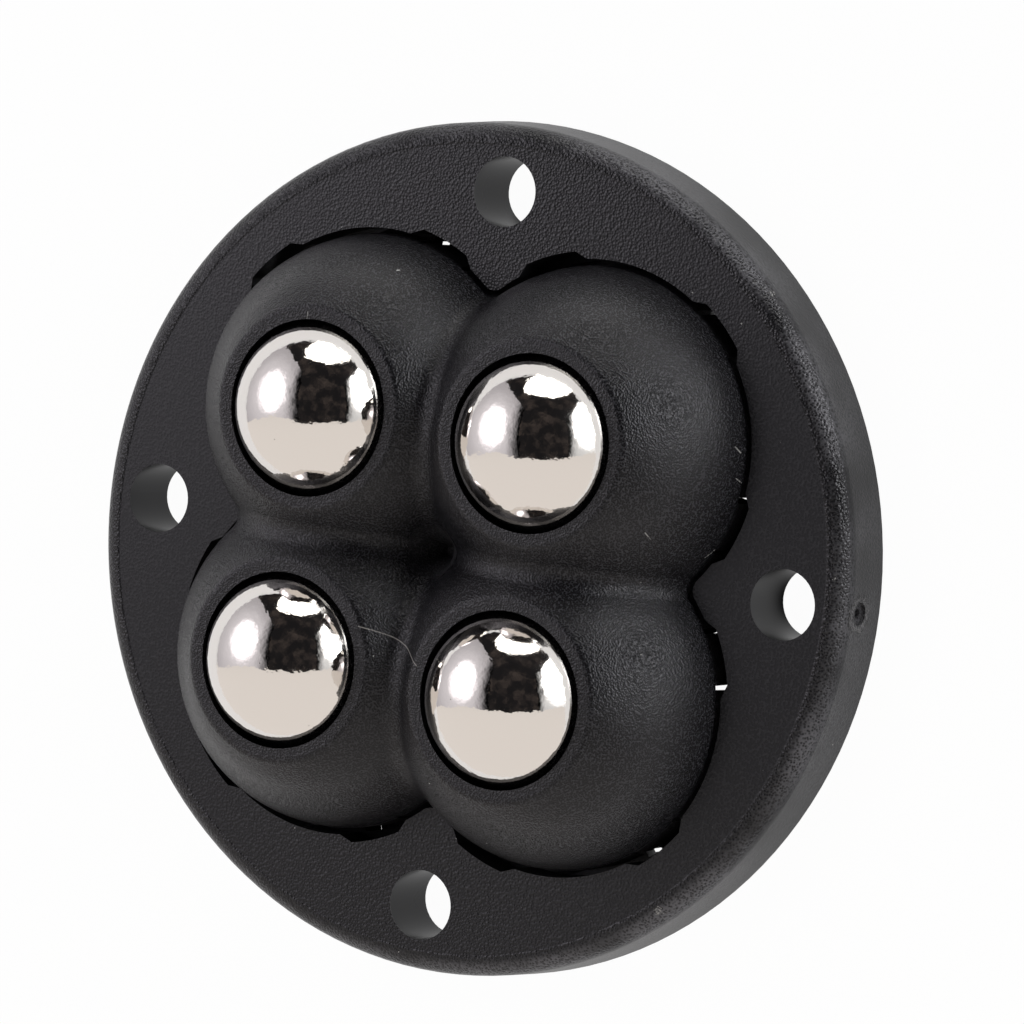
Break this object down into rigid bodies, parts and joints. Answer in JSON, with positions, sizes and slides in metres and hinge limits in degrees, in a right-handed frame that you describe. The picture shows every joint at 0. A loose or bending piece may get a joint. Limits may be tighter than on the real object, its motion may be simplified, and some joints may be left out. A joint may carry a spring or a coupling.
{
  "type": "ball transfer unit",
  "caption": "Round black ball transfer unit: a screw-down flange with a domed clip-in cover that holds bright steel load balls, each free to roll every way on a bed of small balls.",
  "frame": {"origin": "centre of the flange's flat back, the face that lies on the mounting surface", "axes": "+Z out of the front, along the axes of the balls; +X and +Y through the centres of screw holes, with the gate mark on the side of the flange at +X"},
  "size_m": [0.076, 0.076, 0.0218],
  "materials": {
    "flange_plastic": "black moulded plastic with a fine spark-eroded grain",
    "cover_plastic": "black moulded plastic with a very fine grain",
    "cup_steel": "pressed steel, hardened",
    "support_ball_steel": "polished bearing steel",
    "load_ball_steel": "polished bearing steel"
  },
  "bodies": {
    "housing": {"base_flange": "flange_plastic", "dome_cover": "cover_plastic", "ball_cup_1": "cup_steel", "ball_cup_2": "cup_steel", "ball_cup_3": "cup_steel", "ball_cup_4": "cup_steel"},
    "bed_1": {"support_balls_1": "support_ball_steel"},
    "bed_2": {"support_balls_2": "support_ball_steel"},
    "bed_3": {"support_balls_3": "support_ball_steel"},
    "bed_4": {"support_balls_4": "support_ball_steel"},
    "ball_1": {"load_ball_1": "load_ball_steel"},
    "ball_2": {"load_ball_2": "load_ball_steel"},
    "ball_3": {"load_ball_3": "load_ball_steel"},
    "ball_4": {"load_ball_4": "load_ball_steel"}
  },
  "joints": [
    {"name": "swivel_1", "type": "hinge", "parent": "housing", "child": "bed_1", "pos_m": [0.01116, 0.01116, 0.01391], "axis": [0, 0, 1], "continuous": true},
    {"name": "swivel_2", "type": "hinge", "parent": "housing", "child": "bed_2", "pos_m": [-0.01116, 0.01116, 0.01391], "axis": [0, 0, 1], "continuous": true},
    {"name": "swivel_3", "type": "hinge", "parent": "housing", "child": "bed_3", "pos_m": [-0.01116, -0.01116, 0.01391], "axis": [0, 0, 1], "continuous": true},
    {"name": "swivel_4", "type": "hinge", "parent": "housing", "child": "bed_4", "pos_m": [0.01116, -0.01116, 0.01391], "axis": [0, 0, 1], "continuous": true},
    {"name": "roll_1", "type": "hinge", "parent": "bed_1", "child": "ball_1", "pos_m": [0.01116, 0.01116, 0.01391], "axis": [1, 0, 0], "continuous": true},
    {"name": "roll_2", "type": "hinge", "parent": "bed_2", "child": "ball_2", "pos_m": [-0.01116, 0.01116, 0.01391], "axis": [1, 0, 0], "continuous": true},
    {"name": "roll_3", "type": "hinge", "parent": "bed_3", "child": "ball_3", "pos_m": [-0.01116, -0.01116, 0.01391], "axis": [1, 0, 0], "continuous": true},
    {"name": "roll_4", "type": "hinge", "parent": "bed_4", "child": "ball_4", "pos_m": [0.01116, -0.01116, 0.01391], "axis": [1, 0, 0], "continuous": true}
  ]
}
